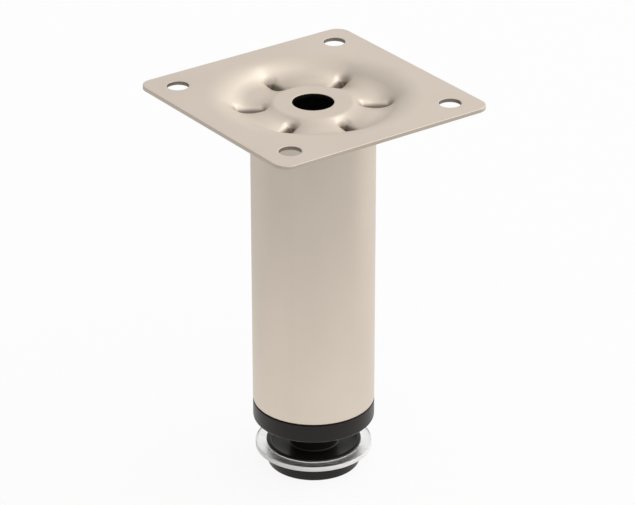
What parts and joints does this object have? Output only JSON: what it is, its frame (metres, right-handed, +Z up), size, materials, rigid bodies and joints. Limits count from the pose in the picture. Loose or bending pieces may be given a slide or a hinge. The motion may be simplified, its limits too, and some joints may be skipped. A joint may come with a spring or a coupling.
{
  "type": "adjustable metal furniture leg",
  "caption": "Round steel furniture leg with a square stamped screw plate on top and a screw-in plastic foot with a clear ring for setting its height.",
  "frame": {"origin": "on the floor, at the middle of the foot's sole", "axes": "+Z up along the tube towards the top plate; the plate's sides run along X and Y"},
  "size_m": [0.06, 0.06, 0.0989],
  "materials": {
    "nickel_plate": "satin nickel plated sheet",
    "nickel_tube": "satin nickel plated tube",
    "black_insert": "moulded black, fine satin",
    "zinc_steel": "bright zinc plated",
    "black_foot": "moulded black, satin",
    "clear_plastic": "clear, glossy"
  },
  "bodies": {
    "leg": {"top_plate": "nickel_plate", "leg_tube": "nickel_tube", "tube_insert": "black_insert", "thread_nut": "zinc_steel"},
    "ring": {"clear_ring": "clear_plastic"},
    "foot": {"adjuster_foot": "black_foot", "adjuster_stud": "zinc_steel"}
  },
  "joints": [
    {"name": "foot_height", "type": "slide", "parent": "leg", "child": "ring", "axis": [0, 0, -1], "range_m": [-0.00563, 0.00938]},
    {"name": "foot_turn", "type": "hinge", "parent": "ring", "child": "foot", "pos_m": [0, 0, 0.005], "axis": [0, 0, -1], "range_deg": [-1620, 2700]}
  ],
  "couplings": [
    {"joint": "foot_height", "follows": "foot_turn", "m_per_rad": 0.00019894}
  ]
}
